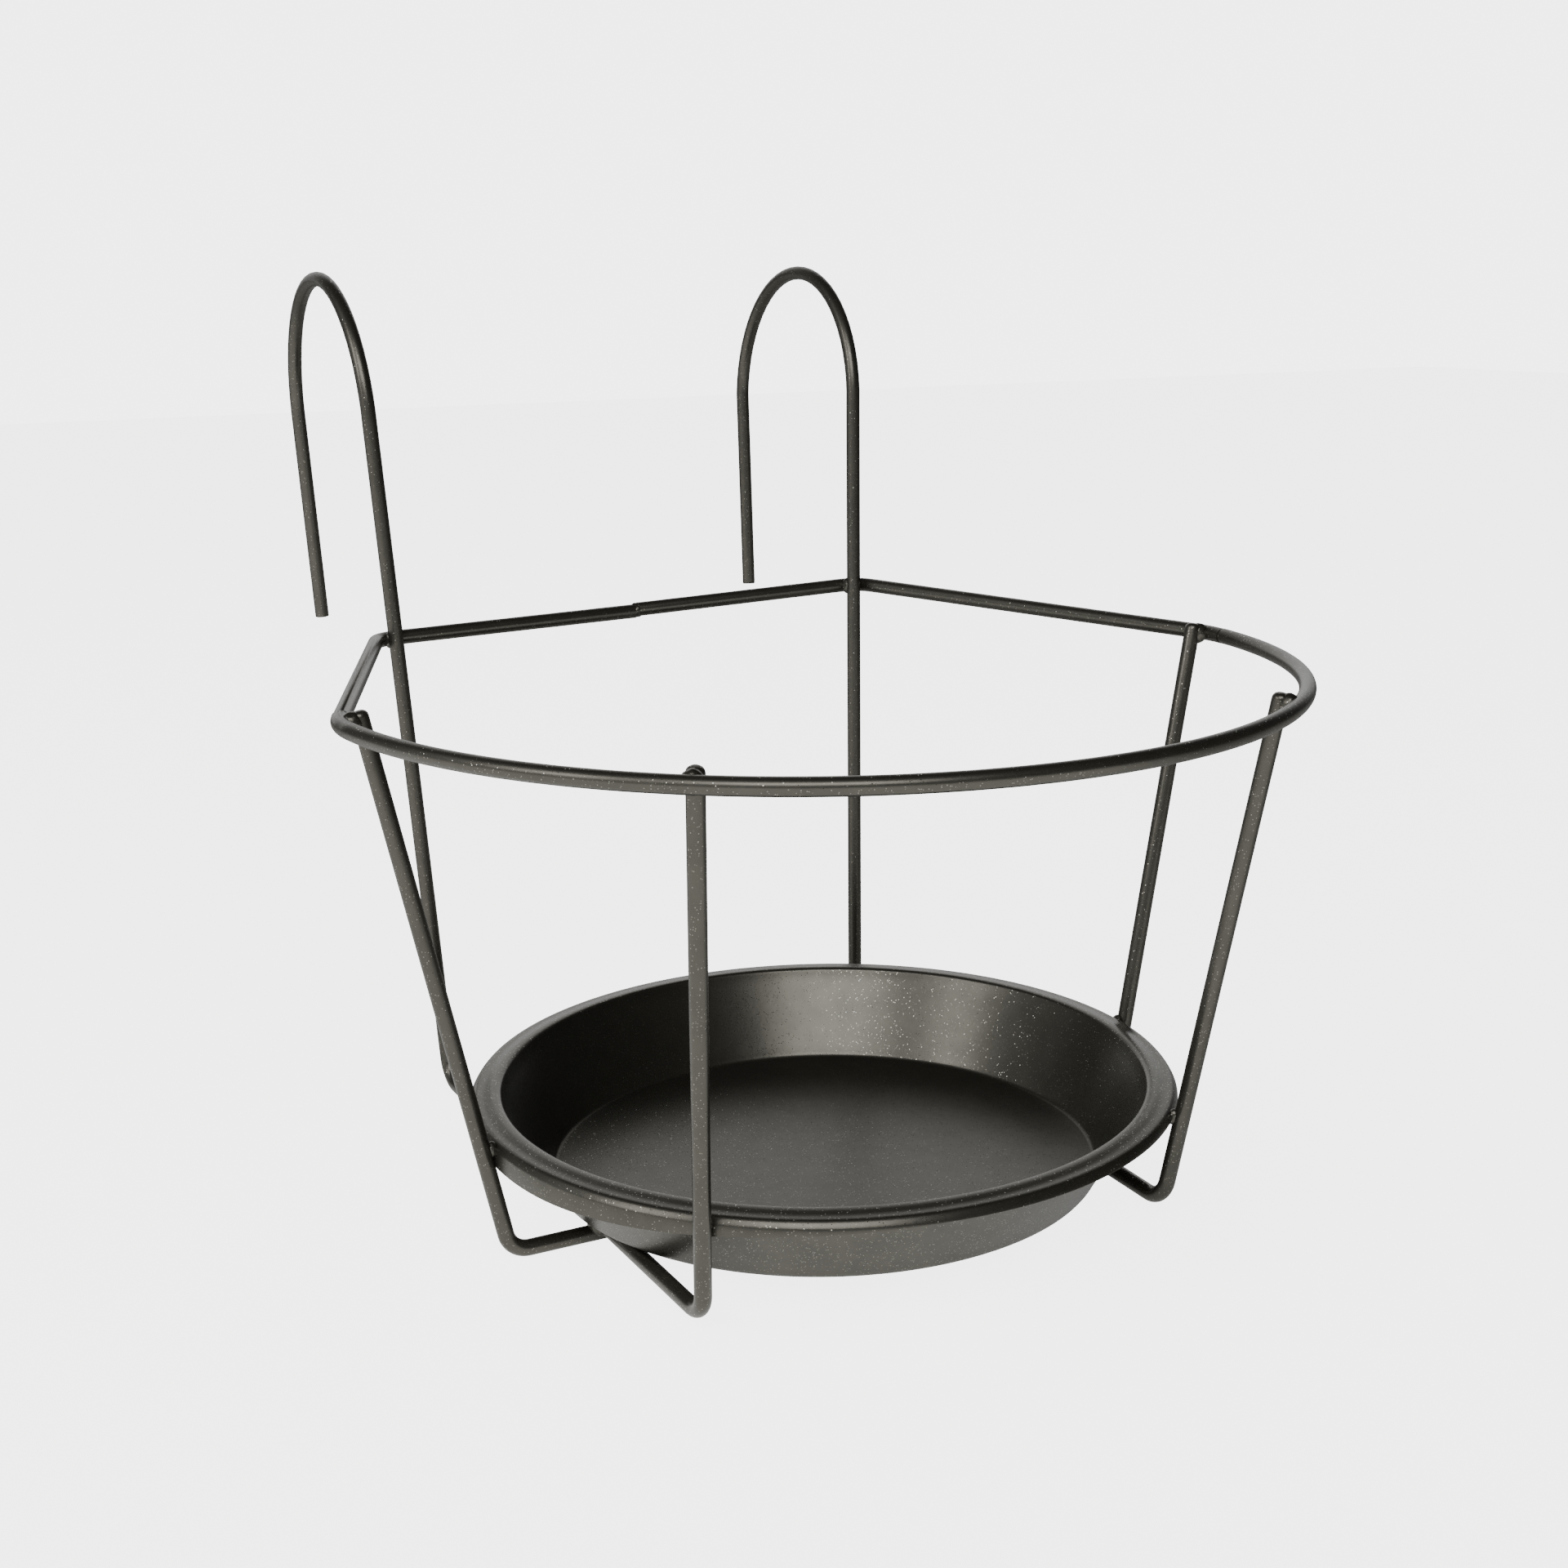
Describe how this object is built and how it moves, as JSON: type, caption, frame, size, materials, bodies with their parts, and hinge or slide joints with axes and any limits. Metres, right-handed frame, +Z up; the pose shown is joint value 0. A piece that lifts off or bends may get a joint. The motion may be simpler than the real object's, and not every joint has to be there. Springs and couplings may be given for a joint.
{
  "type": "hanging basket for a balcony rail",
  "caption": "Wire pot basket that hooks over a balcony rail: a D-shaped hoop, bent hook wires and a cross wire welded round a rimmed saucer.",
  "frame": {"origin": "centre of the outline seen from above, on the surface that the basket stands on", "axes": "+Z up; +Y towards the rail, the way the hooks reach back; +X to the right seen from the front"},
  "size_m": [0.2958, 0.3898, 0.2836],
  "materials": {
    "wire_coat": "satin graphite powder coat with a fine metallic sparkle",
    "pan_coat": "satin graphite powder coat with a fine metallic sparkle",
    "weld_coat": "satin graphite powder coat with a fine metallic sparkle"
  },
  "bodies": {
    "root": {"base_weld_left": "weld_coat", "base_weld_right": "weld_coat", "cross_wire": "wire_coat", "hoop": "wire_coat", "hoop_butt_weld": "weld_coat", "hoop_weld_left_front": "weld_coat", "hoop_weld_left_side": "weld_coat", "hoop_weld_left_upright": "weld_coat", "hoop_weld_right_front": "weld_coat", "hoop_weld_right_side": "weld_coat", "hoop_weld_right_upright": "weld_coat", "left_hook_wire": "wire_coat", "right_hook_wire": "wire_coat", "rim_weld_left_front": "weld_coat", "rim_weld_left_side": "weld_coat", "rim_weld_right_front": "weld_coat", "rim_weld_right_side": "weld_coat", "run_weld_left": "weld_coat", "run_weld_right": "weld_coat", "saucer": "pan_coat"}
  },
  "joints": []
}
